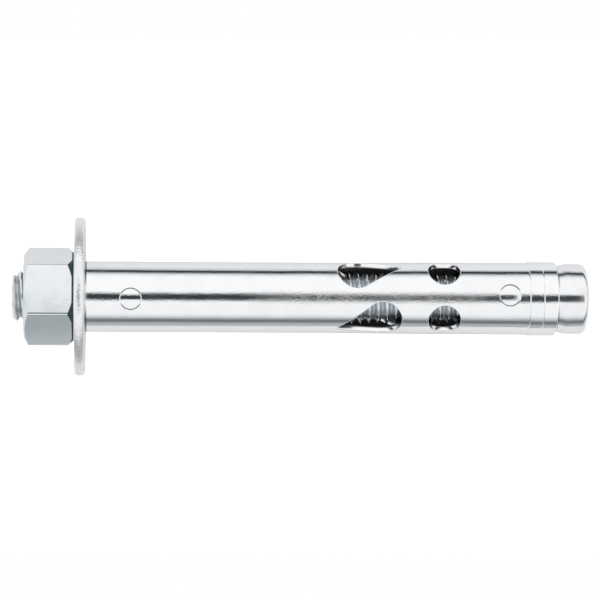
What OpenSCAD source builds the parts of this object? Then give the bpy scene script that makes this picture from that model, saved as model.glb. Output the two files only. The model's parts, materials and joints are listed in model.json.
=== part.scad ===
// Sleeve anchor for an 8 mm hole: a threaded stud with a conical head, a rolled sleeve,
// a washer and a hex nut, lying on a table as the anchor comes to rest. Millimetres.
// Each piece is built along Z: the washer's seat is z = 0, the nut is below it and the
// conical head is at the top. lie() then tips the anchor over, with the head toward +X.

/* [Stud] */
// Diameter over the stud's thread
thread_d = 5.9; // [5:0.1:6.4]
// How far the stud stands out past the nut
stud_reach = 1.3; // [0.6:0.1:12]
// Chamfer on the stud's free end
stud_chamfer = 0.6; // [0.2:0.1:1.2]

/* [Conical head] */
// How far the head's land lies inside the sleeve's outer diameter
head_inset = 0; // [0:0.01:0.2]
// Length of the head's straight land, up to its end face
head_land = 2.4; // [1.8:0.1:6]
// Rounding of the head's outer corner
head_round = 0.65; // [0.2:0.05:1]
// Half angle of the head's cone
cone_angle = 16; // [12:1:24]
// Rounding between the cone and the land
shoulder_round = 3; // [1:0.5:4]
// Gap between the cone and the sleeve's mouth
cone_gap = 0.04; // [0.02:0.01:0.1]

/* [Sleeve] */
// Length of the sleeve
sleeve_length = 53.4; // [44:0.5:100]
// Wall of the sleeve
sleeve_wall = 0.6; // [0.45:0.05:0.9]
// Gap between the thread and the sleeve's bore
sleeve_gap = 0.45; // [0.3:0.05:0.8]
// Open seam that lets the sleeve spread
seam_gap = 0.25; // [0.1:0.05:0.8]
// How far the sleeve swells toward its mouth, per side
swell = 0.11; // [0:0.01:0.2]
// Length over which the sleeve swells
swell_length = 20; // [5:0.5:30]
// Step at the inner ring, where the mouth begins
mouth_step = 0.09; // [0.02:0.01:0.15]
// How much thinner the wall is at the mouth
mouth_thinning = 0.12; // [0.05:0.01:0.25]
// Turn of the sleeve about the axis as the anchor lies
sleeve_turn = 5.3; // [-45:0.1:45]

/* [Mouth rings] */
// Distance of the outer ring from the mouth
ring_back = 1.65; // [1.2:0.05:2.5]
// Distance between the two rings
ring_pitch = 1.55; // [0.6:0.05:2]
// Width of a ring
ring_width = 0.2; // [0.1:0.02:0.4]
// Depth of a ring
ring_depth = 0.06; // [0.02:0.01:0.12]

/* [Windows] */
// Diameter of the round windows
window_d = 3.65; // [2:0.1:4.4]
// Distance of the round windows' centres from the mouth
window_back = 12.9; // [8:0.1:15]
// Radius of the teardrop windows' round end
tear_r = 2.2; // [1.2:0.05:2.4]
// Radius of the teardrop windows' tip
tip_r = 0.15; // [0.1:0.05:0.4]
// Length of the teardrop windows
tear_length = 7.25; // [5:0.1:10]
// Distance of the teardrop windows' middle from the mouth
tear_back = 21.35; // [20:0.1:30]
// Sideways shift of the tips that point to the head
tip_shift_head = 0.6; // [0:0.05:1.5]
// Sideways shift of the tips that point to the nut
tip_shift_nut = 1.3; // [0:0.05:1.5]

/* [Dimples] */
// Diameter of the pressed dimples
dimple_d = 2.4; // [1:0.1:3]
// Depth of the pressed dimples
dimple_depth = 0.18; // [0.05:0.01:0.22]
// Distance of the first dimple from the washer
dimple_front = 5.1; // [3:0.1:9]
// Turn of the first dimple from the line opposite the seam
dimple_front_turn = -8.5; // [-20:0.5:20]
// Distance of the second dimple from the mouth
dimple_back = 5.55; // [4.8:0.1:7]

/* [Washer] */
// Diameter of the washer
washer_d = 17.9; // [14:0.1:24]
// Thickness of the washer
washer_t = 1.15; // [0.8:0.05:2.4]
// Gap between the thread and the washer's hole
washer_gap = 0.3; // [0.15:0.05:0.6]
// Rounding of the washer's edges
washer_round = 0.15; // [0.05:0.01:0.3]

/* [Nut] */
// Width of the nut across flats
nut_af = 9.8; // [9:0.1:11]
// Height of the nut
nut_h = 5.7; // [4:0.1:7]
// How far the nut's corners are rounded back
corner_trim = 0.12; // [0:0.01:0.25]
// How far the end chamfers come in from the flats
face_inset = 0.3; // [0.1:0.05:0.5]
// Angle of the end chamfers
nut_chamfer_angle = 30; // [20:1:40]
// Gap between the stud's thread and the nut's
thread_gap = 0.03; // [0.01:0.01:0.08]
// Widening of the nut's bore at each end
countersink = 0.3; // [0.1:0.05:0.6]
// Turn of the nut about the axis as the anchor lies
nut_turn = 9; // [-30:0.5:30]

/* [Hidden] */
$fn = 96;
cut = 1;
arc_steps = 8;
tear_steps = 32;
window_count = 4;
ring_count = 2;
hex_sides = 6;

thread_r = thread_d / 2;
bore_r = thread_r + sleeve_gap;
sleeve_r = bore_r + sleeve_wall;
mouth_r = sleeve_r + swell + mouth_step;
mouth_bore_r = mouth_r - sleeve_wall;
mouth_start = sleeve_length - ring_back - (ring_count - 1) * ring_pitch;
swell_start = mouth_start - swell_length;

// The cone lies parallel to the taper in the sleeve's mouth, with cone_gap between them.
cone_rise = tan(cone_angle);
taper_r = mouth_bore_r + mouth_thinning;
taper_start = sleeve_length - (taper_r - mouth_bore_r) / cone_rise;
cone_mouth_r = taper_r - cone_gap / cos(cone_angle);
head_r = sleeve_r - head_inset;
cone_start = sleeve_length - (cone_mouth_r - thread_r) / cone_rise;
land_start = sleeve_length + (head_r - cone_mouth_r) / cone_rise;
head_end = land_start + head_land;

// Height and turn of each dimple.
dimples = [[dimple_front, -dimple_front_turn], [sleeve_length - dimple_back, 0]];

stud_start = -washer_t - nut_h - stud_reach;
washer_r = washer_d / 2;
corner_r = nut_af / 2 / cos(180 / hex_sides) - corner_trim;
face_r = nut_af / 2 - face_inset;
nut_bore_r = thread_r + thread_gap;

// The tilt at which the washer's edge and a rounded corner near the head both touch the table.
function tilt_on(z, r, round_r) =
    let (
        run = z - round_r + washer_round,
        drop = washer_r - washer_round - r + round_r
    )
    atan2(drop, run) + asin((washer_round - round_r) / norm([run, drop]));
rest_tilt = min(tilt_on(head_end, head_r, head_round), tilt_on(sleeve_length, mouth_r, 0));
rest_height = washer_round + (washer_r - washer_round) * cos(rest_tilt) - washer_round * sin(rest_tilt);
far_x = head_round + (head_end - head_round) * cos(rest_tilt) + (head_r - head_round) * sin(rest_tilt);
near_x = stud_start * cos(rest_tilt) - (thread_r - stud_chamfer) * sin(rest_tilt);
rest_shift = -(far_x + near_x) / 2;

// Points of an arc round a centre, from one angle to another.
function arc(centre, radius, from, to, steps = arc_steps) =
    [for (i = [0 : steps])
        let (a = from + (to - from) * i / steps)
        centre + radius * [cos(a), sin(a)]];

// Outer radius of the sleeve at a height below its mouth.
function wall_r(z) = sleeve_r + swell * max(0, min(1, (z - swell_start) / swell_length));

// Lays an anchor that was built along Z on the table, with local +X upward.
module lie()
    translate([rest_shift, 0, rest_height])
        rotate([0, 90 + rest_tilt, 0])
            rotate([0, 0, 180])
                children();

// Points a shape drawn in the XY plane outward, at a height and a turn about the axis.
module on_wall(z, turn)
    rotate([0, 0, turn])
        translate([0, 0, z])
            rotate([0, 90, 0])
                children();

module stud()
    color("silver") lie()
        rotate_extrude()
            polygon(concat(
                [[0, stud_start],
                 [thread_r - stud_chamfer, stud_start],
                 [thread_r, stud_start + stud_chamfer],
                 [thread_r, cone_start]],
                arc([head_r - shoulder_round, land_start + shoulder_round * tan(cone_angle / 2)],
                    shoulder_round, -cone_angle, 0),
                arc([head_r - head_round, head_end - head_round], head_round, 0, 90),
                [[0, head_end]]));

// The rolled wall, with its swollen mouth and the taper that the cone seats in.
module sleeve_wall_body()
    rotate_extrude()
        polygon([
            [bore_r, 0],
            [sleeve_r, 0],
            [sleeve_r, swell_start],
            [sleeve_r + swell, mouth_start],
            [mouth_r, mouth_start],
            [mouth_r, sleeve_length],
            [taper_r, sleeve_length],
            [mouth_bore_r, taper_start],
            [mouth_bore_r, mouth_start],
            [bore_r + swell, mouth_start],
            [bore_r, swell_start]]);

module ring(z)
    rotate_extrude()
        polygon([
            [mouth_r - ring_depth, z],
            [mouth_r + cut, z - ring_width / 2 * (1 + cut / ring_depth)],
            [mouth_r + cut, z + ring_width / 2 * (1 + cut / ring_depth)]]);

// A teardrop along +X: a round end, a small tip that may lie to one side, and their tangents.
module teardrop(shift) {
    reach = tear_length - tear_r - tip_r;
    spread = acos((tear_r - tip_r) / norm([reach, shift]));
    lean = atan2(shift, reach);
    middle = [tear_r - tear_length / 2, 0];
    tip = middle + [reach, shift];
    polygon(concat(
        arc(middle, tear_r, lean + spread, lean + 360 - spread, tear_steps),
        arc(tip, tip_r, lean - spread, lean + spread)));
}

module window_cut()
    linear_extrude(mouth_r + cut) children();

// A round plug through the wall, from one radius to another.
module plug(z, turn, from, to)
    intersection() {
        on_wall(z, turn) cylinder(d = dimple_d, h = to + cut);
        translate([0, 0, z - dimple_d])
            difference() {
                cylinder(r = to, h = 2 * dimple_d);
                translate([0, 0, -cut]) cylinder(r = from, h = 2 * (dimple_d + cut));
            }
    }

module sleeve()
    color("gainsboro") lie() rotate([0, 0, -sleeve_turn]) {
        difference() {
            sleeve_wall_body();
            for (i = [0 : ring_count - 1])
                ring(sleeve_length - ring_back - i * ring_pitch);
            for (i = [0 : window_count - 1]) {
                turn = (i + 0.5) * 360 / window_count;
                to_nut = i % 2 == 0;
                on_wall(sleeve_length - window_back, turn) window_cut() circle(d = window_d);
                on_wall(sleeve_length - tear_back, turn)
                    rotate([0, 0, to_nut ? 0 : 180])
                        window_cut() teardrop(to_nut ? tip_shift_nut : tip_shift_head);
            }
            for (d = dimples)
                plug(d[0], d[1], wall_r(d[0]) - dimple_depth, wall_r(d[0]) + cut);
            rotate([0, 0, 180])
                translate([0, -seam_gap / 2, -cut])
                    cube([mouth_r + cut, seam_gap, sleeve_length + 2 * cut]);
        }
        // The bump that each pressed dimple leaves inside the sleeve.
        for (d = dimples)
            plug(d[0], d[1], wall_r(d[0]) - sleeve_wall - dimple_depth, wall_r(d[0]) - sleeve_wall / 2);
    }

module washer()
    color("silver") lie()
        rotate_extrude()
            polygon(concat(
                [[thread_r + washer_gap, -washer_t], [thread_r + washer_gap, 0]],
                arc([washer_r - washer_round, -washer_round], washer_round, 90, 0),
                arc([washer_r - washer_round, washer_round - washer_t], washer_round, 0, -90)));

// Turned outline that gives the hexagon its end chamfers and rounded corners.
module nut_outline() {
    drop = (corner_r - face_r) * tan(nut_chamfer_angle);
    rotate_extrude()
        polygon([
            [0, 0],
            [face_r, 0],
            [corner_r, drop],
            [corner_r, nut_h - drop],
            [face_r, nut_h],
            [0, nut_h]]);
}

module nut_bore()
    rotate_extrude()
        polygon([
            [0, -cut],
            [nut_bore_r + countersink + cut, -cut],
            [nut_bore_r, countersink],
            [nut_bore_r, nut_h - countersink],
            [nut_bore_r + countersink + cut, nut_h + cut],
            [0, nut_h + cut]]);

module nut()
    color("lightgray") lie()
        translate([0, 0, -washer_t - nut_h])
            difference() {
                intersection() {
                    rotate([0, 0, 180 / hex_sides - nut_turn])
                        cylinder(d = nut_af / cos(180 / hex_sides), h = nut_h, $fn = hex_sides);
                    nut_outline();
                }
                nut_bore();
            }

stud();
sleeve();
washer();
nut();
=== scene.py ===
"""Looks of a sleeve anchor: a threaded stud with a conical head, a rolled sleeve, a washer and a hex nut.

Each piece is modelled along its own axis in millimetres, with the washer's seat at height 0, the conical
head above it and the nut below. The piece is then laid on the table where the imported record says, and
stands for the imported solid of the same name.
"""

import json
import logging
import math
from collections.abc import Iterable, Sequence
from dataclasses import dataclass
from enum import Enum
from typing import Any

import bmesh
import bpy
from mathutils import Matrix, Vector


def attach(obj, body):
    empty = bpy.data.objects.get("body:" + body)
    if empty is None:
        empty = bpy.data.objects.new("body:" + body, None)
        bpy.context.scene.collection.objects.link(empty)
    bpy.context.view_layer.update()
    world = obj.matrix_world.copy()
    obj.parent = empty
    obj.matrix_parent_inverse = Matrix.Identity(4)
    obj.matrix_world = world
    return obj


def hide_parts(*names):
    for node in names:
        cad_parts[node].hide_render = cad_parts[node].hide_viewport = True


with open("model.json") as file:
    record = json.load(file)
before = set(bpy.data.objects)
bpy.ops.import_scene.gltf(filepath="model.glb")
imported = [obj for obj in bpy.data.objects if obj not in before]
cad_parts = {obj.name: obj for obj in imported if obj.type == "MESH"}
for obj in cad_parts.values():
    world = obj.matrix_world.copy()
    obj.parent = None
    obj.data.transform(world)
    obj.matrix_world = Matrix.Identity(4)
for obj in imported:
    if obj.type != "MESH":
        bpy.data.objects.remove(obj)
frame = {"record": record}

LOG = logging.getLogger("sleeve_anchor")
MM = 0.001
Point = tuple[float, float]
Colour = tuple[float, float, float]

# Meshes: where points are merged, how near a plane a point counts as on it, and where shading breaks
THREAD_MERGE_MM = 0.004
MERGE_MM = 1e-4
LEVEL_MM = 1e-4
CUT_MM = 1e-5
SHARP_ANGLE = math.radians(24)

# Points of a tooth, as shares of the crest's half width and of the flank
CREST_SHARES = (0.0, 0.7, 1.5)
FLANK_SHARES = (0.35, 0.7, 1.0)
ROOT_DIP_MM = 0.02

# Rings on a dimple's floor, as shares of its radius
FLOOR_SHARES = (1.0, 0.97, 0.85, 0.7, 0.55, 0.4, 0.25)

# The widest a window is spread for the bend, as a sine
WIDEST_SINE = 0.95

# Depth of the nut's first turned section, before the hexagon is shaped
STUB_MM = 1.0

# Plating: limits of the noise that makes clouds and specks, and soft ends of its stretches, the painted shade of
# thinner plating among them
NOISE_ROUGHNESS = 0.55
CLOUD_LIMITS: Point = (0.4, 0.68)
SPECK_MM = 0.13
SPECK_LIMITS: Point = (0.36, 0.64)
SCUFF_BASE = 0.35
SCUFF_CORE = 0.6
SCUFF_FADE_MM = 8.0
THIN_SHADED_FADE_MM = 0.1

# Painted shade lines round the dimples and where pieces meet: colour, width of a crease about its radius, and
# where beside the axis they show
SHADE_LINE_COLOUR: Colour = (0.12, 0.12, 0.13)
CREASE_MM: Point = (-0.14, 0.02)
CREASE_FADE_MM = 0.05
CREASE_SIDE: Point = (0.35, 0.6)
# Painted shade line where a piece meets the next: its core, the distances beside the axis over which it fades in,
# so that it is missing along the top, and how dark it gets.
CONTACT_SHADE_CORE = 0.5
CONTACT_SHADE_SIDE_MM: Point = (0.6, 2.4)
CONTACT_SHADE_DEPTH = 0.8

# Sockets of a Mix node that mixes colours
MIX_FIRST, MIX_SECOND, MIX_RESULT = 6, 7, 2

# How much red and green the room's middle greys lose
COOL: Point = (0.14, 0.05)

SENSOR_MM = 36.0
CLIP_M: Point = (0.01, 100.0)


class Pointing(Enum):
    """Which way the tip of a teardrop window points along the sleeve."""

    NUT = 1
    HEAD = -1


# Placing and meshes


@dataclass(frozen=True)
class Lay:
    """Where the anchor lies: the centre of the washer's seat, in metres, and its own axis toward the head."""

    seat: Vector
    axis: Vector

    @classmethod
    def from_record(cls, record: dict[str, Any]) -> "Lay":
        """Reads the place from the mount that goes into the drilled hole.

        Args:
            record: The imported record.

        Returns:
            The place of the lying anchor.
        """
        mount = next(m for m in record["mounts"] if m["name"] == "hole_side")
        return cls(Vector(mount["pos_m"]), Vector(mount["axis"]).normalized())

    def matrix(self) -> Matrix:
        """Returns the move from a piece's own millimetres to the frame, with its +X upward."""
        up = (Vector((0, 0, 1)) - self.axis * self.axis.z).normalized()
        turned = Matrix((up, self.axis.cross(up), self.axis)).transposed()
        return Matrix.Translation(self.seat) @ (turned * MM).to_4x4()

    def tilt(self) -> float:
        """Returns how far the head's end hangs below the level, in radians."""
        return math.asin(-self.axis.z)


def arc(centre: Point, radius: float, start: float, end: float, steps: int) -> list[Point]:
    """Walks along an arc.

    Args:
        centre: Middle of the arc.
        radius: Radius of the arc.
        start: First angle, in radians.
        end: Last angle, in radians.
        steps: How many steps the walk takes.

    Returns:
        The points, both ends among them.
    """
    angles = [start + (end - start) * i / steps for i in range(steps + 1)]
    return [(centre[0] + radius * math.cos(a), centre[1] + radius * math.sin(a)) for a in angles]


def between(points: Sequence[Point], at: float) -> float:
    """Reads a line of straight stretches.

    Args:
        points: Places and values, in rising order.
        at: The place to read at.

    Returns:
        The value there, or the end's value past an end.
    """
    if at <= points[0][0]:
        return points[0][1]
    for (x0, y0), (x1, y1) in zip(points, points[1:]):
        if at <= x1:
            return y0 + (y1 - y0) * (at - x0) / (x1 - x0)
    return points[-1][1]


def profile_edges(bm: bmesh.types.BMesh, profile: Iterable[Point]) -> list[Any]:
    """Draws an open profile in the XZ plane.

    Args:
        bm: The mesh to draw in.
        profile: Radius and height of each point.

    Returns:
        The vertices and edges, ready to spin.
    """
    verts = [bm.verts.new((radius, 0, height)) for radius, height in profile]
    return [*verts, *(bm.edges.new(pair) for pair in zip(verts, verts[1:]))]


def lathe(bm: bmesh.types.BMesh, profile: Iterable[Point], steps: int) -> None:
    """Turns a profile of radii and heights once about the axis."""
    bmesh.ops.spin(bm, geom=profile_edges(bm, profile), cent=(0, 0, 0), axis=(0, 0, 1),
                   angle=math.tau, steps=steps, use_merge=True)


def cut_across(bm: bmesh.types.BMesh, height: float, keep_above: bool) -> list[bmesh.types.BMEdge]:
    """Cuts a mesh square to its axis and drops one side.

    Args:
        bm: The mesh to cut.
        height: Where to cut.
        keep_above: Whether the side above stays.

    Returns:
        The edges of the opening that the cut leaves.
    """
    bmesh.ops.bisect_plane(bm, geom=[*bm.verts, *bm.edges, *bm.faces], dist=CUT_MM, plane_co=(0, 0, height),
                           plane_no=(0, 0, 1), clear_outer=not keep_above, clear_inner=keep_above)
    return [e for e in bm.edges if e.is_boundary and all(abs(v.co.z - height) < LEVEL_MM for v in e.verts)]


def draw_out(bm: bmesh.types.BMesh, ring: list[bmesh.types.BMEdge],
             stations: Iterable[Point]) -> list[bmesh.types.BMEdge]:
    """Draws an open ring of edges out through a row of circles about the axis.

    Args:
        bm: The mesh that the ring belongs to.
        ring: The edges of the opening.
        stations: Radius and height of each circle.

    Returns:
        The edges of the last circle.
    """
    for radius, height in stations:
        made = bmesh.ops.extrude_edge_only(bm, edges=ring)["geom"]
        verts = {g for g in made if isinstance(g, bmesh.types.BMVert)}
        for vert in verts:
            vert.co = vert.co.xy.normalized().to_3d() * radius + Vector((0, 0, height))
        ring = [g for g in made if isinstance(g, bmesh.types.BMEdge) and verts.issuperset(g.verts)]
    return ring


def scale_radius(vert: bmesh.types.BMVert, radius: float) -> None:
    """Moves a vertex to another distance from the axis."""
    factor = radius / math.hypot(vert.co.x, vert.co.y)
    vert.co.x *= factor
    vert.co.y *= factor


@dataclass(frozen=True)
class Thread:
    """A right-hand thread of straight flanks, shared by the stud and the nut.

    Args:
        crest_r: Radius of the stud's crests.
        root_r: Radius of the stud's roots.
        pitch: Rise of one turn.
        crest: Half width of the flat on a crest.
        root: Half width of the flat in a root.
        steps: Steps round one turn.
    """

    crest_r: float = 2.95
    root_r: float = 2.36
    pitch: float = 1.0
    crest: float = 0.045
    root: float = 0.09
    steps: int = 80

    def tooth(self, grow: float, inner_r: float) -> list[Point]:
        """Gives one pitch of the profile, from a crest's edge to the next crest.

        Args:
            grow: How far the profile stands outside the stud's own.
            inner_r: Smallest radius that it may have.

        Returns:
            Radius and height of each point.
        """
        half, span = self.pitch / 2, self.crest_r - self.root_r
        flank = half - self.crest - self.root
        heights = [self.crest * share for share in CREST_SHARES]
        heights += [self.crest + flank * share for share in FLANK_SHARES]
        side = [(self.crest_r - span * max(0.0, min(1.0, (h - self.crest) / flank)), h) for h in heights]
        rise = [*side, (self.root_r - ROOT_DIP_MM, half)]
        fall = [(r, self.pitch - h) for r, h in reversed(side)]
        return [(max(inner_r, r + grow), h) for r, h in rise + fall]

    def sweep(self, bm: bmesh.types.BMesh, low: float, high: float, grow: float = 0.0,
              inner_r: float = 0.0) -> None:
        """Sweeps the profile along its helix, past both ends of a stretch.

        Args:
            bm: The mesh to sweep in.
            low: Lower end of the stretch.
            high: Upper end of the stretch.
            grow: How far the profile stands outside the stud's own.
            inner_r: Smallest radius that the profile may have.
        """
        first, last = math.floor(low / self.pitch) - 2, math.ceil(high / self.pitch) + 1
        tooth = self.tooth(grow, inner_r)[:-1]
        comb = [(r, h + turn * self.pitch) for turn in range(first, last) for r, h in tooth]
        bmesh.ops.spin(bm, geom=profile_edges(bm, comb), cent=(0, 0, 0), axis=(0, 0, 1),
                       dvec=(0, 0, self.pitch / self.steps), angle=math.tau, steps=self.steps, use_merge=False)
        bmesh.ops.remove_doubles(bm, verts=bm.verts, dist=THREAD_MERGE_MM)


# Shader graphs


class Value:
    """A node's output socket, with arithmetic that adds Math nodes."""

    def __init__(self, graph: "Graph", socket: Any) -> None:
        """Keeps the socket and the graph that it belongs to."""
        self.graph, self.socket = graph, socket

    def math(self, operation: str, *others: "Term") -> "Value":
        """Returns a Math node's result, with this value as its first input."""
        return self.graph.math(operation, self, *others)

    def other(self, output: str) -> "Value":
        """Returns another output of the same node."""
        return Value(self.graph, self.socket.node.outputs[output])

    def __add__(self, other: "Term") -> "Value":
        """Returns the sum."""
        return self.math("ADD", other)

    __radd__ = __add__

    def __sub__(self, other: "Term") -> "Value":
        """Returns the difference."""
        return self.math("SUBTRACT", other)

    def __rsub__(self, other: "Term") -> "Value":
        """Returns the difference from a number."""
        return self.graph.math("SUBTRACT", other, self)

    def __mul__(self, other: "Term") -> "Value":
        """Returns the product."""
        return self.math("MULTIPLY", other)

    __rmul__ = __mul__


Term = Value | float | tuple[float, ...]


class Graph:
    """A node tree that is filled through one method."""

    def __init__(self, tree: Any) -> None:
        """Empties a material's or a world's node tree."""
        self.tree = tree
        tree.nodes.clear()

    def node(self, kind: str, settings: dict[str, Any] | None = None,
             sockets: dict[int | str, Term] | None = None, output: int | str = 0) -> Value:
        """Adds a node.

        Args:
            kind: The node's type.
            settings: The node's own settings, which are set first; stops are a ramp's places and greys.
            sockets: A value or a link for each input socket.
            output: The output to hand back.

        Returns:
            The output, ready for arithmetic.
        """
        made = self.tree.nodes.new(kind)
        for name, setting in (settings or {}).items():
            if name == "stops":
                self.fill_ramp(made.color_ramp, setting)
            else:
                setattr(made, name, setting)
        for key, term in (sockets or {}).items():
            if isinstance(term, Value):
                self.tree.links.new(term.socket, made.inputs[key])
            else:
                made.inputs[key].default_value = term
        return Value(self, made.outputs[output] if made.outputs else None)

    def math(self, operation: str, *terms: Term) -> Value:
        """Adds a Math node."""
        return self.node("ShaderNodeMath", {"operation": operation}, dict(enumerate(terms)))

    def rise(self, value: Value, low: float, high: float) -> Value:
        """Returns 0 below low, 1 above high and a smooth rise between them."""
        return self.node("ShaderNodeMapRange", {"interpolation_type": "SMOOTHSTEP"},
                         {"Value": value, "From Min": low, "From Max": high})

    def mix(self, share: Value, first: Value | Colour, second: Value | Colour) -> Value:
        """Mixes two colours.

        Args:
            share: How much of the second colour there is.
            first: A colour or a link.
            second: A colour or a link.

        Returns:
            The mixed colour.
        """
        ends = [end if isinstance(end, Value) else (*end, 1.0) for end in (first, second)]
        return self.node("ShaderNodeMix", {"data_type": "RGBA"},
                         {"Factor": share, MIX_FIRST: ends[0], MIX_SECOND: ends[1]}, MIX_RESULT)

    @staticmethod
    def fill_ramp(ramp: Any, stops: Sequence[tuple[float, Colour]]) -> None:
        """Sets a colour ramp's stops, which are places from 0 to 1 with their colours."""
        while len(ramp.elements) > 1:
            ramp.elements.remove(ramp.elements[-1])
        for index, (place, colour) in enumerate(stops):
            element = ramp.elements[0] if index == 0 else ramp.elements.new(place)
            element.position = place
            element.color = (*colour, 1.0)


# Finishes


@dataclass(frozen=True)
class ZincFinish:
    """Zinc plating over steel.

    Args:
        slot: The record's material slot.
        bright: Colour of the clear plating.
        clouded: Colour of the cloudier patches.
        roughness: Roughness of the clear plating.
        cloud_roughness: How much rougher the cloudy patches are.
        cloud_mm: Size of the cloudy patches.
        grain_mm: Size of the fine grain.
        grain_stretch: How much longer the grain is along the anchor's axis.
        grain_um: Height of the fine grain, in micrometres.
        wave_mm: Size of the slow unevenness.
        wave_um: Height of the slow unevenness, in micrometres.
        thin_shaded: Colour where the plating is thinner, deep in the piece, and darker as painted shade in its
            hollows.
        thin_roughness: How much rougher the thinner plating is.
        thin_shaded_r: Radii between which the thinner plating and its painted shade give way to the clear.
        thin_shaded_span: Heights between which there is thinner plating with painted shade.
        scuff_span: Heights between which forming has scuffed the outside.
        scuff_half: Half the width of the scuffed strip along the top.
        scuff: How much rougher the scuffed specks are.
        side_grain: Height of the grain away from that strip, as a share.
        crease_shades: Place along and beside the axis, and radius, of each painted shade line in the crease round
            a pressed dimple, shown on the upper half only.
        contact_shade: Height and half width of a painted shade line round the piece where it meets the next piece,
            far below it where there is none.
    """

    slot: str
    bright: Colour
    clouded: Colour
    roughness: float
    cloud_roughness: float
    cloud_mm: float
    grain_mm: float
    grain_stretch: float
    grain_um: float
    wave_mm: float
    wave_um: float
    thin_shaded: Colour
    thin_roughness: float
    thin_shaded_r: Point
    thin_shaded_span: Point = (-100.0, 100.0)
    scuff_span: Point = (-100.0, 100.0)
    scuff_half: float = 1.0
    scuff: float = 0.0
    side_grain: float = 1.0
    crease_shades: tuple[tuple[float, float, float], ...] = ()
    contact_shade: Point = (-200.0, 0.1)

    def noise(self, graph: Graph, place: Value, size_mm: float, detail: float) -> Value:
        """Returns smooth noise from 0 to 1 whose patches have about the given size."""
        return graph.node("ShaderNodeTexNoise", {"noise_dimensions": "3D"},
                          {"Vector": place, "Scale": 1 / size_mm, "Detail": detail, "Roughness": NOISE_ROUGHNESS})

    def within(self, graph: Graph, height: Value, span: Point, soft: float) -> Value:
        """Returns 1 between two heights and 0 outside them, with soft ends."""
        return graph.rise(height, span[0], span[0] + soft) * (1 - graph.rise(height, span[1] - soft, span[1]))

    def shade_lines(self, graph: Graph, height: Value) -> Value:
        """Returns how much the painted shade lines round each dimple's crease and where pieces meet darken the
        plating.

        Args:
            graph: The material's graph.
            height: Place along the axis, with the places beside it in the same node.

        Returns:
            A value from 0 to 1.
        """
        beside, up = height.other("Y"), height.other("Z")
        away = (height - self.contact_shade[0]).math("ABSOLUTE")
        line = 1 - graph.rise(away, self.contact_shade[1] * CONTACT_SHADE_CORE, self.contact_shade[1])
        dark = line * (graph.rise(beside.math("ABSOLUTE"), *CONTACT_SHADE_SIDE_MM) * CONTACT_SHADE_DEPTH)
        for along, across, radius in self.crease_shades:
            off_x, off_y = height - along, beside - across
            out = (off_x * off_x + off_y * off_y).math("SQRT")
            ring = self.within(graph, out, (radius + CREASE_MM[0], radius + CREASE_MM[1]), CREASE_FADE_MM)
            side = graph.rise(off_y.math("ABSOLUTE"), *(radius * share for share in CREASE_SIDE))
            dark = dark.math("MAXIMUM", ring * side * up.math("GREATER_THAN", 0.0))
        return dark

    def material(self, lay: Lay) -> bpy.types.Material:
        """Makes the plating's material.

        Args:
            lay: Where the anchor lies, so that the grain runs along it.

        Returns:
            The material.
        """
        made = bpy.data.materials.new(self.slot)
        made.use_nodes = True
        graph = Graph(made.node_tree)
        own = graph.node("ShaderNodeMapping", {"vector_type": "TEXTURE"},
                         {"Vector": graph.node("ShaderNodeTexCoord", output="Object"), "Location": tuple(lay.seat),
                          "Rotation": (0.0, lay.tilt(), 0.0), "Scale": (MM, MM, MM)})
        drawn = graph.node("ShaderNodeMapping", {"vector_type": "TEXTURE"},
                           {"Vector": own, "Scale": (self.grain_stretch, 1.0, 1.0)})
        height = graph.node("ShaderNodeSeparateXYZ", None, {"Vector": own}, "X")
        radius = (height.other("Y") * height.other("Y") + height.other("Z") * height.other("Z")).math("SQRT")
        cloudy = graph.rise(self.noise(graph, own, self.cloud_mm, detail=4.0), *CLOUD_LIMITS)
        # Painted shade: the thinner plating deep in the piece is darker, and also rougher.
        thin_shaded = (1 - graph.rise(radius, *self.thin_shaded_r)) * self.within(graph, height, self.thin_shaded_span, THIN_SHADED_FADE_MM)
        plated = graph.mix(thin_shaded, graph.mix(cloudy, self.bright, self.clouded), self.thin_shaded)
        # Painted shade lines round the dimples and where pieces meet.
        colour = graph.mix(self.shade_lines(graph, height), plated, SHADE_LINE_COLOUR)
        beside = height.other("Y").math("ABSOLUTE")
        top = 1 - graph.rise(beside, self.scuff_half * SCUFF_CORE, self.scuff_half)
        strip = self.within(graph, height, self.scuff_span, SCUFF_FADE_MM) * top
        specks = graph.rise(self.noise(graph, own, SPECK_MM, detail=2.0), *SPECK_LIMITS)
        grain = self.noise(graph, drawn, self.grain_mm, detail=2.0) * (
            (top + strip) * ((1 - self.side_grain) / 2) + self.side_grain)
        wave = self.noise(graph, drawn, self.wave_mm, detail=1.0)
        bump = grain * (self.grain_um * MM * MM) + wave * (self.wave_um * MM * MM)
        normal = graph.node("ShaderNodeBump", None, {"Height": bump, "Distance": 1.0, "Strength": 1.0})
        roughness = (cloudy * self.cloud_roughness + thin_shaded * self.thin_roughness + self.roughness
                     + strip * (specks * self.scuff + self.scuff * SCUFF_BASE))
        shader = graph.node("ShaderNodeBsdfPrincipled", None,
                            {"Base Color": colour, "Metallic": 1.0, "Roughness": roughness, "Normal": normal})
        graph.node("ShaderNodeOutputMaterial", None, {"Surface": shader})
        return made


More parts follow.
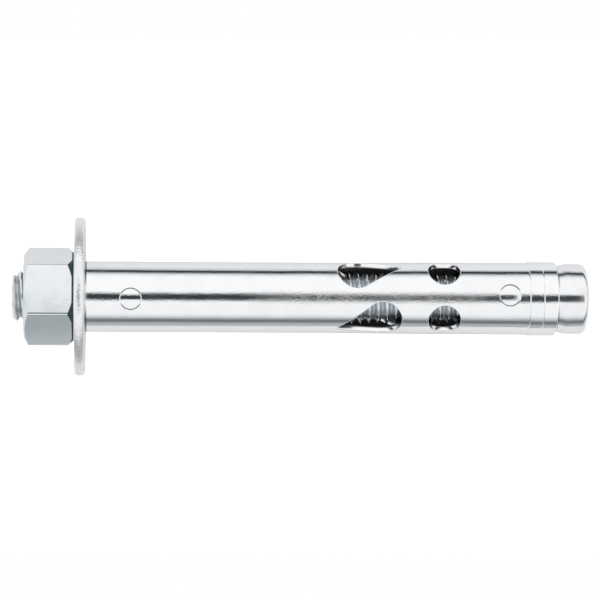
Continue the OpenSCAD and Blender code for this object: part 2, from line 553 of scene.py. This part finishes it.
# Sleeve: its darker inside is painted shade, and so are the lines round each dimple's crease and at the washer's
# seat.
SLEEVE_ZINC = ZincFinish(
    "sleeve_zinc", bright=(0.945, 0.955, 0.965), clouded=(0.92, 0.93, 0.945), roughness=0.09, cloud_roughness=0.05,
    cloud_mm=2.4, grain_mm=0.17, grain_stretch=1.4, grain_um=16.0, wave_mm=3.0, wave_um=30.0,
    thin_shaded=(0.2, 0.21, 0.22), thin_roughness=0.35, thin_shaded_r=(3.5, 3.62), scuff_span=(16.0, 49.5), scuff_half=1.1,
    scuff=0.12, side_grain=0.3, crease_shades=((5.1, -0.22, 1.25), (47.85, 0.37, 1.25)), contact_shade=(0.0, 0.26))
# Stud: its darker thread roots are painted shade, and so is the line on the cone at the sleeve's mouth.
STUD_ZINC = ZincFinish(
    "stud_zinc", bright=(0.92, 0.93, 0.945), clouded=(0.88, 0.89, 0.91), roughness=0.1, cloud_roughness=0.06,
    cloud_mm=1.8, grain_mm=0.18, grain_stretch=1.0, grain_um=5.0, wave_mm=2.0, wave_um=12.0,
    thin_shaded=(0.62, 0.67, 0.7), thin_roughness=0.28, thin_shaded_r=(2.45, 2.93), thin_shaded_span=(-7.95, 49.8), contact_shade=(53.5, 0.11))
# Washer: the dark ring round the nut on its nut side, hole edge there included, is painted shade between nut and
# washer.
WASHER_ZINC = ZincFinish(
    "washer_zinc", bright=(0.94, 0.945, 0.955), clouded=(0.89, 0.9, 0.91), roughness=0.27, cloud_roughness=0.06,
    cloud_mm=1.0, grain_mm=0.24, grain_stretch=1.0, grain_um=60.0, wave_mm=1.2, wave_um=34.0,
    thin_shaded=(0.1, 0.15, 0.16), thin_roughness=0.2, thin_shaded_r=(5.5, 6.1), thin_shaded_span=(-1.4, -1.05))
# Nut: its darker threaded bore is painted shade.
NUT_ZINC = ZincFinish(
    "nut_zinc", bright=(0.845, 0.88, 0.905), clouded=(0.82, 0.855, 0.88), roughness=0.12, cloud_roughness=0.05,
    cloud_mm=2.0, grain_mm=0.2, grain_stretch=1.0, grain_um=3.0, wave_mm=2.2, wave_um=8.0,
    thin_shaded=(0.15, 0.155, 0.165), thin_roughness=0.3, thin_shaded_r=(3.05, 3.3))


# Pieces


class Piece:
    """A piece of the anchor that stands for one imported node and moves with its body."""

    name: str
    finish: ZincFinish

    def build(self, bm: bmesh.types.BMesh) -> None:
        """Models the piece along its own axis, in millimetres."""
        raise NotImplementedError

    def place(self, lay: Lay) -> bpy.types.Object:
        """Models the piece, lays it on the table and dresses it.

        Args:
            lay: Where the anchor lies.

        Returns:
            The finished object.
        """
        bm = bmesh.new()
        self.build(bm)
        bmesh.ops.remove_doubles(bm, verts=bm.verts, dist=MERGE_MM)
        bmesh.ops.recalc_face_normals(bm, faces=bm.faces)
        bmesh.ops.transform(bm, matrix=lay.matrix(), verts=bm.verts)
        for face in bm.faces:
            face.smooth = True
        mesh = bpy.data.meshes.new(self.name + "_looks")
        bm.to_mesh(mesh)
        bm.free()
        mesh.set_sharp_from_angle(angle=SHARP_ANGLE)
        mesh.materials.append(self.finish.material(lay))
        made = bpy.data.objects.new(self.name + "_looks", mesh)
        bpy.context.scene.collection.objects.link(made)
        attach(made, self.name)
        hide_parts(self.name)
        LOG.info("%s: %d faces", made.name, len(mesh.polygons))
        return made


@dataclass
class Stud(Piece):
    """The threaded stud, with the conical head at its end.

    Args:
        thread: The stud's thread.
        start: Height of the free end.
        chamfer: Chamfer on the free end.
        run_out: Height where the thread ends.
        neck_r: Radius of the plain neck past the thread.
        cone_at: A height on the cone, with cone_r its radius there.
        cone_r: Radius of the cone at cone_at.
        cone_angle: Half angle of the cone, in degrees.
        head_r: Radius of the head's land.
        land_start: Height where the cone would meet the land.
        shoulder_r: Rounding between the cone and the land.
        head_end: Height of the head's end face.
        head_round: Rounding of the head's outer corner.
        dish_rim: Width of the flat ring on each end face, round its shallow dish.
        dish_depth: Depth of the dish.
        dish_wall: Width of the dish's sloping wall, as far as its bend and to its foot.
        dish_bend: Share of the depth at that bend.
        rim_edge: Edge break round each end face.
        run_out_length: Length of the thread's end, down to the neck.
    """

    thread: Thread
    start: float = -8.15
    chamfer: float = 0.6
    run_out: float = 49.55
    neck_r: float = 2.64
    cone_at: float = 50.86
    cone_r: float = 2.95
    cone_angle: float = 16.0
    head_r: float = 4.0
    land_start: float = 54.52
    shoulder_r: float = 3.0
    head_end: float = 56.92
    head_round: float = 0.65
    dish_rim: float = 0.7
    dish_depth: float = 0.1
    dish_wall: Point = (0.2, 0.5)
    dish_bend: float = 0.7
    rim_edge: float = 0.06
    run_out_length: float = 0.08

    name = "stud"
    finish = STUD_ZINC

    def build(self, bm: bmesh.types.BMesh) -> None:
        """Sweeps the thread, chamfers its end and draws the cone and the head out of it."""
        self.thread.sweep(bm, self.start, self.run_out)
        end = cut_across(bm, self.start, keep_above=True)
        open_top = cut_across(bm, self.run_out, keep_above=False)
        for vert in bm.verts:
            limit = self.thread.crest_r - self.chamfer + vert.co.z - self.start
            if math.hypot(vert.co.x, vert.co.y) > limit:
                scale_radius(vert, limit)
        self.close(bm, end, self.thread.crest_r - self.chamfer, self.start, self.dish_depth)
        head = draw_out(bm, open_top, self.head_profile())
        self.close(bm, head, self.head_r - self.head_round, self.head_end, -self.dish_depth)

    def head_profile(self) -> list[Point]:
        """Returns the radii and heights from the neck to the rim of the head's end face."""
        lean = math.radians(self.cone_angle)
        neck_top = self.cone_at - (self.cone_r - self.neck_r) / math.tan(lean)
        shoulder = (self.head_r - self.shoulder_r, self.land_start + self.shoulder_r * math.tan(lean / 2))
        corner = (self.head_r - self.head_round, self.head_end - self.head_round)
        return [(self.neck_r, self.run_out + self.run_out_length), (self.neck_r, neck_top),
                *arc(shoulder, self.shoulder_r, -lean, 0, steps=8),
                *arc(corner, self.head_round, 0, math.pi / 2, steps=10)]

    def close(self, bm: bmesh.types.BMesh, rim: list[bmesh.types.BMEdge], radius: float, level: float,
              sink: float) -> None:
        """Closes an end with a flat ring and a shallow dish inside it.

        Args:
            bm: The stud's mesh.
            rim: The edges of the open end.
            radius: Radius of the rim.
            level: Height of the end face.
            sink: Rise of the dish's bottom from the face.
        """
        dish = radius - self.dish_rim
        bend, foot = self.dish_wall
        middle = draw_out(bm, rim, [(radius - self.rim_edge, level), (dish, level),
                                    (dish - bend, level + sink * self.dish_bend), (dish - foot, level + sink)])
        bmesh.ops.edgeloop_fill(bm, edges=middle)


@dataclass(frozen=True)
class RoundWindow:
    """A round window in the flat strip."""

    along: float
    across: float
    radius: float

    def outline(self, grow: float) -> list[Point]:
        """Returns the outline as distances across and along the strip, grown by a margin."""
        return [(self.across + x, self.along + y)
                for x, y in arc((0, 0), self.radius + grow, 0, math.tau, steps=48)[:-1]]


@dataclass(frozen=True)
class TearWindow:
    """A teardrop window in the flat strip, with a tip that lies to one side."""

    along: float
    across: float
    radius: float
    tip_r: float
    length: float
    shift: float
    pointing: Pointing

    def outline(self, grow: float) -> list[Point]:
        """Returns the outline as distances across and along the strip, grown by a margin."""
        reach = self.length - self.radius - self.tip_r
        spread = math.acos((self.radius - self.tip_r) / math.hypot(reach, self.shift))
        lean = math.atan2(self.shift, reach)
        middle = (self.radius - self.length / 2, 0.0)
        tip = (middle[0] + reach, self.shift)
        points = arc(middle, self.radius + grow, lean + spread, lean + math.tau - spread, steps=40)
        points += arc(tip, self.tip_r + grow, lean - spread, lean + spread, steps=10)
        way = self.pointing.value
        return [(self.across + way * y, self.along - way * x) for x, y in points]


@dataclass(frozen=True)
class Blank:
    """The strip's own edge."""

    half_width: float
    length: float

    def outline(self, grow: float) -> list[Point]:
        """Returns the corners, drawn in by a margin."""
        side = self.half_width - grow
        return [(-side, grow), (side, grow), (side, self.length - grow), (-side, self.length - grow)]


@dataclass
class Sleeve(Piece):
    """A punched strip, rolled into a tube with an open seam.

    Args:
        outer_r: Outer radius beside the washer.
        wall: Thickness of the strip.
        length: Length of the sleeve.
        seam_gap: Width of the open seam.
        turn: Turn of the sleeve about the axis, in degrees.
        edge: Rounding of the punched edges outside.
        inner_edge: Rounding of the punched edges inside.
        margin: Flat margin that is kept round a punched edge and a dimple.
        swell: Heights and swelling of the wall, with its two rings and the step at the mouth.
        taper: Heights and thinning of the mouth's inside.
        round_along: Height of the round windows.
        round_r: Radius of the round windows.
        tear_along: Height of the teardrop windows' middle.
        tear_r: Radius of the teardrops' round end.
        tip_r: Radius of the teardrops' tip.
        tear_length: Length of the teardrops.
        shifts: Sideways shift of a tip, by the way it points.
        dimples: Height and turn, in degrees, of each pressed dimple.
        dimple_r: Radius of a dimple.
        dimple_wall: Width of a dimple's sloping wall.
        dimple_depth: Depth of a dimple beside its wall.
        dimple_crown: Rise of a dimple's floor at its middle.
        slice_deg: Width of the flat slices that make the round wall, in degrees.
    """

    outer_r: float = 4.0
    wall: float = 0.6
    length: float = 53.4
    seam_gap: float = 0.25
    turn: float = -5.3
    edge: float = 0.1
    inner_edge: float = 0.03
    margin: float = 0.03
    swell: tuple[Point, ...] = ((0, 0), (30.2, 0), (50.1, 0.11), (50.12, 0.11), (50.18, 0.09), (50.24, 0.2),
                                (50.26, 0.2), (51.67, 0.2), (51.69, 0.2), (51.75, 0.16), (51.81, 0.2),
                                (51.83, 0.2), (53.4, 0.2))
    taper: tuple[Point, ...] = ((52.98, 0), (53.4, 0.12))
    round_along: float = 40.5
    round_r: float = 1.825
    tear_along: float = 32.05
    tear_r: float = 2.2
    tip_r: float = 0.15
    tear_length: float = 7.25
    shifts: tuple[float, float] = (1.3, 0.6)
    dimples: tuple[Point, ...] = ((5.1, 8.5), (47.85, 0.0))
    dimple_r: float = 1.25
    dimple_wall: float = 0.1
    dimple_depth: float = 0.18
    dimple_crown: float = 0.06
    slice_deg: float = 2.0

    name = "sleeve"
    finish = SLEEVE_ZINC

    def build(self, bm: bmesh.types.BMesh) -> None:
        """Punches the strip, slices it finely enough to bend and rolls it."""
        self.punch(bm)
        self.slice(bm)
        self.roll(bm)

    def windows(self) -> list[RoundWindow | TearWindow]:
        """Returns the windows, four of each kind, with the teardrops pointing both ways in turn."""
        made: list[RoundWindow | TearWindow] = []
        for i, pointing in enumerate((Pointing.NUT, Pointing.HEAD) * 2):
            across = self.outer_r * math.radians((i + 0.5) * 90 - (360 if i > 1 else 0))
            shift = self.shifts[0] if pointing is Pointing.NUT else self.shifts[1]
            made.append(RoundWindow(self.round_along, across, self.round_r))
            made.append(TearWindow(self.tear_along, across, self.tear_r, self.tip_r, self.tear_length,
                                   shift, pointing))
        return made

    def bend_in(self, point: Point, across: float) -> Point:
        """Widens a window's outline, so that it has its size when it is seen through the rolled wall."""
        side = max(-WIDEST_SINE, min(WIDEST_SINE, (point[0] - across) / self.outer_r))
        return across + self.outer_r * math.asin(side), point[1]

    def levels(self) -> list[Point]:
        """Returns the margin and the depth of each line round a punched edge, from outside to inside."""
        rounding = arc((self.edge, self.edge), self.edge, -math.pi / 2, -math.pi, steps=6)
        return [(self.edge + self.margin, 0.0), *rounding, (0.0, self.wall - self.inner_edge),
                (self.inner_edge, self.wall)]

    @staticmethod
    def draw_loop(bm: bmesh.types.BMesh, points: Iterable[Point], depth: float) -> list[bmesh.types.BMEdge]:
        """Draws a closed line at a depth below the strip's outside and returns its edges."""
        verts = [bm.verts.new((x, y, -depth)) for x, y in points]
        return [bm.edges.new(pair) for pair in zip(verts, verts[1:] + verts[:1])]

    def punch(self, bm: bmesh.types.BMesh) -> None:
        """Makes the flat strip with its windows: X runs across it, Y along it and Z out of it."""
        blank = Blank(math.pi * self.outer_r - self.seam_gap / 2, self.length)
        rims: dict[float, list[bmesh.types.BMEdge]] = {0.0: [], self.wall: []}
        for shape in [blank, *self.windows()]:
            loops: list[list[bmesh.types.BMEdge]] = []
            for grow, depth in self.levels():
                points = shape.outline(grow)
                if shape is not blank:
                    points = [self.bend_in(p, shape.across) for p in points]
                loops.append(self.draw_loop(bm, points, depth))
            for pair in zip(loops, loops[1:]):
                bmesh.ops.bridge_loops(bm, edges=[*pair[0], *pair[1]])
            rims[0.0] += loops[0]
            rims[self.wall] += loops[-1]
        for depth, rim in rims.items():
            for height, turn in self.dimples:
                rim += self.draw_dimple(bm, (self.outer_r * math.radians(turn), height), depth)
        for rim in rims.values():
            bmesh.ops.triangle_fill(bm, use_beauty=True, use_dissolve=False, edges=rim)
        bmesh.ops.recalc_face_normals(bm, faces=bm.faces)

    def draw_dimple(self, bm: bmesh.types.BMesh, middle: Point, depth: float) -> list[bmesh.types.BMEdge]:
        """Draws a dimple's circles on one face of the strip, ready to be pressed.

        Args:
            bm: The strip's mesh.
            middle: The dimple's place across and along the strip.
            depth: Depth of the face below the outside.

        Returns:
            The edges of the outermost circle.
        """
        outer, inner = self.dimple_r + self.margin, self.dimple_r - self.dimple_wall
        ring = outermost = self.draw_loop(bm, arc(middle, outer, 0, math.tau, steps=72)[:-1], depth)
        radii = [outer, self.dimple_r, *(inner * share for share in FLOOR_SHARES)]
        about = Matrix.Translation((-middle[0], -middle[1], 0.0))
        for before, radius in zip(radii, radii[1:]):
            made = bmesh.ops.extrude_edge_only(bm, edges=ring)["geom"]
            verts = [g for g in made if isinstance(g, bmesh.types.BMVert)]
            bmesh.ops.scale(bm, vec=(radius / before, radius / before, 1.0), space=about, verts=verts)
            ring = [g for g in made if isinstance(g, bmesh.types.BMEdge) and set(verts).issuperset(g.verts)]
        bmesh.ops.edgeloop_fill(bm, edges=ring)
        return outermost

    def slice(self, bm: bmesh.types.BMesh) -> None:
        """Cuts the strip along the lines where it bends."""
        step = self.outer_r * math.radians(self.slice_deg)
        count = int(math.pi * self.outer_r / step)
        self.score(bm, [i * step for i in range(-count, count + 1)], Vector((1, 0, 0)))
        self.score(bm, sorted({h for h, _ in self.swell[1:-1]} | {self.taper[0][0]}), Vector((0, 1, 0)))

    @staticmethod
    def score(bm: bmesh.types.BMesh, places: Iterable[float], normal: Vector) -> None:
        """Cuts the strip along parallel planes and keeps both sides of each.

        Args:
            bm: The strip's mesh.
            places: Distance of each plane from the origin.
            normal: Direction square to the planes.
        """
        cut = [*bm.verts, *bm.edges, *bm.faces]
        for place in places:
            cut = bmesh.ops.bisect_plane(bm, geom=cut, dist=LEVEL_MM, plane_co=normal * place,
                                         plane_no=normal)["geom"]

    def press(self, across: float, along: float) -> float:
        """Returns how deep the dimples press the strip in at a point."""
        inner = self.dimple_r - self.dimple_wall
        depth = 0.0
        for height, turn in self.dimples:
            away = math.hypot(across - self.outer_r * math.radians(turn), along - height)
            depth += self.dimple_depth * min(1.0, max(0.0, (self.dimple_r - away) / self.dimple_wall))
            depth -= self.dimple_crown * max(0.0, 1 - (away / inner) ** 2)
        return depth

    def roll(self, bm: bmesh.types.BMesh) -> None:
        """Presses the dimples, swells the mouth and rolls the strip about the axis."""
        for vert in bm.verts:
            across, along, out = vert.co
            radius = self.outer_r + between(self.swell, along) + out - self.press(across, along)
            if out < -self.wall / 2:
                radius += between(self.taper, along)
            angle = across / self.outer_r + math.radians(self.turn)
            vert.co = (radius * math.cos(angle), radius * math.sin(angle), along)


@dataclass
class Washer(Piece):
    """A plain blanked washer.

    Args:
        outer_r: Radius of the washer.
        hole_r: Radius of its hole.
        thickness: Thickness, below the seat.
        edge: Rounding of the outer edges.
        crown: Radius of the rim's crowned section.
        hole_edge: Chamfer of the hole's edges.
        steps: Steps round the washer.
    """

    outer_r: float = 8.944
    hole_r: float = 3.25
    thickness: float = 1.15
    edge: float = 0.25
    crown: float = 0.9
    hole_edge: float = 0.08
    steps: int = 180

    name = "washer"
    finish = WASHER_ZINC

    def build(self, bm: bmesh.types.BMesh) -> None:
        """Turns the washer's section about the axis."""
        low, middle = -self.thickness, -self.thickness / 2
        lean = math.asin((self.thickness / 2 - self.edge) / (self.crown - self.edge))
        rim = self.outer_r - self.crown + (self.crown - self.edge) * math.cos(lean)
        section = [(self.hole_r, -self.hole_edge), (self.hole_r + self.hole_edge, 0.0),
                   *arc((rim, -self.edge), self.edge, math.pi / 2, lean, steps=5)[:-1],
                   *arc((self.outer_r - self.crown, middle), self.crown, lean, -lean, steps=8),
                   *arc((rim, low + self.edge), self.edge, -lean, -math.pi / 2, steps=5)[1:],
                   (self.hole_r + self.hole_edge, low), (self.hole_r, low + self.hole_edge)]
        lathe(bm, [*section, section[0]], self.steps)


@dataclass
class Nut(Piece):
    """A hex nut with a chamfer on both faces and a thread that meshes with the stud's.

    Args:
        thread: The stud's thread.
        low: Height of the outer face.
        height: Height of the nut.
        flat_r: Distance from the axis to a flat.
        crown: Fall of a flat from its middle to its corners.
        corner_round: Rounding of the corners.
        chamfers: Radius where a corner is cut back, angle of the cut in degrees and edge break of the
            flats, at the outer face and beside the washer.
        clearance: Gap between the nut's thread and the stud's, outward.
        crest_r: Smallest radius of the nut's thread.
        countersink_r: Radius of the countersinks at the faces.
        countersink: Depth of the countersinks.
        turn: Turn of a flat from straight up, in degrees.
        steps: Steps round the nut.
    """

    thread: Thread
    low: float = -6.85
    height: float = 5.7
    flat_r: float = 4.92
    crown: float = 0.035
    corner_round: float = 0.3
    chamfers: tuple[tuple[float, float, float], ...] = ((4.92, 30.0, 0.16), (5.12, 43.0, 0.3))
    clearance: float = 0.05
    crest_r: float = 2.5
    countersink_r: float = 3.28
    countersink: float = 0.5
    turn: float = -9.0
    steps: int = 360

    name = "nut"
    finish = NUT_ZINC

    def hexagon(self, angle: float) -> float:
        """Returns the rounded hexagon's radius at an angle from the middle of a flat."""
        side = math.pi / 3
        off = abs((angle + side / 2) % side - side / 2)
        middle = (self.flat_r - self.corner_round) / math.cos(side / 2)
        from_corner = side / 2 - off
        if middle * math.sin(from_corner) > self.corner_round * math.sin(side / 2):
            radius = self.flat_r / math.cos(off)
        else:
            swing = middle * math.sin(from_corner)
            radius = middle * math.cos(from_corner) + math.sqrt(self.corner_round ** 2 - swing ** 2)
        return radius - self.crown * (math.tan(off) / math.tan(side / 2)) ** 2

    def build(self, bm: bmesh.types.BMesh) -> None:
        """Sweeps the thread, shapes the hexagon round it and closes both faces."""
        high = self.low + self.height
        self.thread.sweep(bm, self.low, high, self.clearance, self.crest_r)
        ends = [cut_across(bm, self.low, keep_above=True), cut_across(bm, high, keep_above=False)]
        widen = (self.countersink_r - self.crest_r) / self.countersink
        for vert in bm.verts:
            depth = min(vert.co.z - self.low, high - vert.co.z)
            limit = self.countersink_r - widen * depth
            if math.hypot(vert.co.x, vert.co.y) < limit:
                scale_radius(vert, limit)
        threaded = set(bm.verts)
        face_r = self.flat_r - STUB_MM
        lathe(bm, [(face_r, self.low), (self.flat_r, self.low + STUB_MM), (self.flat_r, high - STUB_MM),
                   (face_r, high)], self.steps)
        for vert in set(bm.verts) - threaded:
            radius = self.hexagon(math.atan2(vert.co.y, vert.co.x) - math.radians(self.turn))
            outside = vert.co.z < (self.low + high) / 2
            corner_r, angle, edge = self.chamfers[0 if outside else 1]
            if vert.co.xy.length < (self.flat_r + face_r) / 2:
                scale_radius(vert, min(corner_r, radius) - edge)
                continue
            fall = edge + math.tan(math.radians(angle)) * max(0.0, radius - corner_r)
            scale_radius(vert, radius)
            vert.co.z = self.low + fall if outside else high - fall
        for rim, level in zip(ends, (self.low, high)):
            outer = [e for e in bm.edges if e.is_boundary and not threaded.intersection(e.verts)
                     and all(abs(v.co.z - level) < LEVEL_MM for v in e.verts)]
            bmesh.ops.triangle_fill(bm, use_beauty=True, use_dissolve=False, edges=rim + outer)


# Stage


@dataclass(frozen=True)
class Studio:
    """The table, the light round it and the camera.

    Args:
        half_x: Half the table's size along the anchor.
        half_y: Half the table's size across the anchor.
        table_colour: Grey of the table.
        seen_glow: How much the table is lifted toward white, where the camera sees it.
        shown_glow: How much it is lifted where metal or glass shows it.
        shade_x_mm: Middle and half length of the oval of painted shadow under the anchor.
        shade_y_mm: Half widths of that oval, as the camera sees it and as metal shows it.
        shade_core: Share of the oval, squared, where its soft edge starts, for each.
        shade_floor: What is left of the table's brightness there for the camera.
        deep_x_mm: Start and end of the two strips of deepest painted shadow, below the windows.
        deep_y_mm: Inner and outer edge of those strips, beside the axis.
        deep_fade_mm: Width of their soft edges, along and across.
        deep_floor: What is left of the brightness in them.
        deep_grey: Grey painted on the table in the deepest shadow.
        bands: Angle from straight up toward +Y, in degrees, and grey of the light round the anchor.
        ends: Grey of the light beyond the anchor's two ends.
        end_fade: Slopes along the anchor between which the light of the ends takes over.
        slot_end: Angles from straight up, along the anchor, between which the dark slot ends.
        overhead: Grey overhead, beyond the ends of the slot.
        overhead_deg: How far to each side that grey reaches, in degrees.
        focal_px: Focal length, in pixels of the image.
        image_px: Width of the image.
        distance_mm: Distance of the camera from its aim.
        aim_mm: The point that the camera aims at.
        pitch_deg: Lean of the camera toward the head.
        roll_deg: Turn of the camera about its own axis.
    """

    half_x: float = 0.075
    half_y: float = 0.03
    table_colour: float = 0.72
    seen_glow: float = 0.75
    shown_glow: float = 0.22
    shade_x_mm: Point = (11.0, 21.0)
    shade_y_mm: Point = (4.15, 6.2)
    shade_core: Point = (0.72, 0.5)
    shade_floor: float = 0.6
    deep_x_mm: Point = (1.5, 21.5)
    deep_y_mm: Point = (2.0, 3.95)
    deep_fade_mm: Point = (2.5, 0.35)
    deep_floor: float = 0.006
    deep_grey: float = 0.006
    bands: tuple[Point, ...] = (
        (-180, 0.7), (-108, 0.65), (-104, 0.52), (-101.5, 0.36), (-98.5, 0.48), (-96, 0.54), (-91, 0.31),
        (-83, 0.16), (-81, 0.16), (-77, 0.28), (-73, 0.46), (-65, 0.76), (-56, 0.93), (-15, 0.96), (-12.5, 0.85),
        (-8.5, 0.05), (7, 0.04), (10, 0.1), (14.5, 0.9), (18, 1.0), (68, 1.0), (75.5, 0.9), (80, 0.75),
        (84, 0.45), (88, 0.1), (90, 0.03), (95, 0.03), (98, 0.2), (101, 0.7), (180, 0.7))
    ends: float = 0.75
    end_fade: Point = (0.88, 0.99)
    slot_end: Point = (18.0, 24.0)
    overhead: float = 0.96
    overhead_deg: float = 35.0
    focal_px: float = 2562.2
    image_px: float = 600.0
    distance_mm: float = 291.53
    aim_mm: tuple[float, float, float] = (-0.10, -0.265, 6.5)
    pitch_deg: float = 1.152
    roll_deg: float = 0.2745

    def glow(self, graph: Graph) -> Value:
        """Returns the table's lift: for the camera, and less for rays that metal or glass sends on."""
        path = graph.node("ShaderNodeLightPath", output="Is Camera Ray")
        sent_on = path.other("Is Glossy Ray").math("MAXIMUM", path.other("Is Transmission Ray"))
        return path * self.seen_glow + sent_on * self.shown_glow

    def open_table(self, graph: Graph) -> Value:
        """Returns 0 where a shadow is painted on the table right under the anchor, and 1 round it."""
        place = graph.node("ShaderNodeTexCoord", output="Object")
        along = graph.node("ShaderNodeSeparateXYZ", None, {"Vector": place}, "X")
        off = (along - self.shade_x_mm[0] * MM) * (1 / (self.shade_x_mm[1] * MM))
        seen, shown = (self.oval(graph, off, along.other("Y"), width, core)
                       for width, core in zip(self.shade_y_mm, self.shade_core))
        deep = (self.stretch(graph, along, self.deep_x_mm, self.deep_fade_mm[0])
                * self.stretch(graph, along.other("Y").math("ABSOLUTE"), self.deep_y_mm, self.deep_fade_mm[1]))
        seen = (seen * (1 - self.shade_floor) + self.shade_floor) * (1 - deep * (1 - self.deep_floor))
        path = graph.node("ShaderNodeLightPath", output="Is Camera Ray")
        return path * seen + (1 - path) * shown

    @staticmethod
    def stretch(graph: Graph, place: Value, span: Point, fade: float) -> Value:
        """Returns 1 between two places on the table and 0 outside them.

        Args:
            graph: The table's graph.
            place: The place, in metres.
            span: The two places, in millimetres.
            fade: Width of the soft ends, in millimetres.

        Returns:
            A value from 0 to 1.
        """
        starts, ends = (graph.rise(place, low * MM, (low + fade) * MM) for low in (span[0], span[1] - fade))
        return starts * (1 - ends)

    @staticmethod
    def oval(graph: Graph, off: Value, beside: Value, width: float, core: float) -> Value:
        """Returns 0 in the core of an oval on the table and 1 outside it.

        Args:
            graph: The table's graph.
            off: Place along the oval, as a share of its half length.
            beside: Place beside the anchor.
            width: Half width of the oval, in millimetres.
            core: Share of the oval, squared, where its edge starts.

        Returns:
            A smooth rise over the oval's edge.
        """
        across = beside * (1 / (width * MM))
        return graph.rise(off * off + across * across, core, 1.0)

    @staticmethod
    def even(grey: float) -> Colour:
        """Returns a plain grey."""
        return grey, grey, grey

    @staticmethod
    def cool(grey: float) -> Colour:
        """Returns a grey of the room, whose middle greys lean toward blue."""
        red, green = (grey * (1 - loss * (1 - grey)) for loss in COOL)
        return red, green, grey

    def table(self) -> bpy.types.Object:
        """Makes the plain pale table top, which keeps the anchor's shadow and has a painted shadow under the
        anchor.
        """
        bm = bmesh.new()
        bmesh.ops.create_grid(bm, x_segments=1, y_segments=1, size=1.0)
        bmesh.ops.scale(bm, vec=(self.half_x, self.half_y, 1), verts=bm.verts)
        mesh = bpy.data.meshes.new("table")
        bm.to_mesh(mesh)
        bm.free()
        made = bpy.data.materials.new("table")
        made.use_nodes = True
        graph = Graph(made.node_tree)
        # Painted shadow under the anchor: it darkens the table's grey and its lift.
        clear = self.open_table(graph)
        grey = graph.mix(clear, self.even(self.deep_grey), self.even(self.table_colour))
        lit = graph.node("ShaderNodeBsdfDiffuse", None, {"Color": grey})
        glow = graph.node("ShaderNodeEmission", None, {"Color": self.glow(graph) * clear})
        both = graph.node("ShaderNodeAddShader", None, {0: lit, 1: glow})
        graph.node("ShaderNodeOutputMaterial", None, {"Surface": both})
        mesh.materials.append(made)
        table = bpy.data.objects.new("table", mesh)
        bpy.context.scene.collection.objects.link(table)
        return table

    def light(self) -> None:
        """Makes the soft light: white panels on both sides, with the dark slot of the camera overhead."""
        world = bpy.data.worlds.new("studio")
        world.use_nodes = True
        bpy.context.scene.world = world
        graph = Graph(world.node_tree)
        way = graph.node("ShaderNodeTexCoord", output="Generated")
        east = graph.node("ShaderNodeSeparateXYZ", None, {"Vector": way}, "X")
        angle = graph.math("ARCTAN2", east.other("Y"), east.other("Z"))
        stops = [((degrees + 180) / 360, self.cool(grey)) for degrees, grey in self.bands]
        ring = graph.node("ShaderNodeValToRGB", {"stops": stops}, {"Fac": angle * (1 / math.tau) + 0.5})
        along = graph.math("ARCTAN2", east, east.other("Z")).math("ABSOLUTE")
        past = graph.rise(along, *(math.radians(degrees) for degrees in self.slot_end))
        above = angle.math("ABSOLUTE").math("LESS_THAN", math.radians(self.overhead_deg))
        open_ring = graph.mix(past * above, ring, self.even(self.overhead))
        beyond = graph.rise(east.math("ABSOLUTE"), *self.end_fade)
        round_about = graph.mix(beyond, open_ring, self.even(self.ends))
        camera_ray = graph.node("ShaderNodeLightPath", output="Is Camera Ray")
        colour = graph.mix(camera_ray, round_about, self.even(1.0))
        background = graph.node("ShaderNodeBackground", None, {"Color": colour, "Strength": 1.0})
        graph.node("ShaderNodeOutputWorld", None, {"Surface": background})

    def camera(self) -> None:
        """Places the camera above the anchor."""
        data = bpy.data.cameras.new("camera")
        data.sensor_width = SENSOR_MM
        data.lens = self.focal_px / self.image_px * data.sensor_width
        data.clip_start, data.clip_end = CLIP_M
        made = bpy.data.objects.new("camera", data)
        bpy.context.scene.collection.objects.link(made)
        pitch, roll = math.radians(self.pitch_deg), math.radians(self.roll_deg)
        back = Vector((math.sin(pitch), 0, math.cos(pitch)))
        right = Vector((math.cos(pitch), 0, -math.sin(pitch)))
        up = Vector((0, 1, 0))
        across = right * math.cos(roll) + up * math.sin(roll)
        upward = up * math.cos(roll) - right * math.sin(roll)
        eye = (Vector(self.aim_mm) + back * self.distance_mm) * MM
        made.matrix_world = Matrix.Translation(eye) @ Matrix((across, upward, back)).transposed().to_4x4()
        bpy.context.scene.camera = made


def main() -> None:
    """Builds the studio and the pieces."""
    logging.basicConfig(level=logging.INFO, format="%(name)s: %(message)s")
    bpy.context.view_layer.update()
    bpy.context.scene.view_settings.view_transform = "Standard"
    studio = Studio()
    studio.camera()
    studio.table()
    studio.light()
    lay = Lay.from_record(frame["record"])
    thread = Thread()
    for piece in (Stud(thread), Sleeve(), Washer(), Nut(thread)):
        piece.place(lay)


if __name__ == "__main__":
    main()
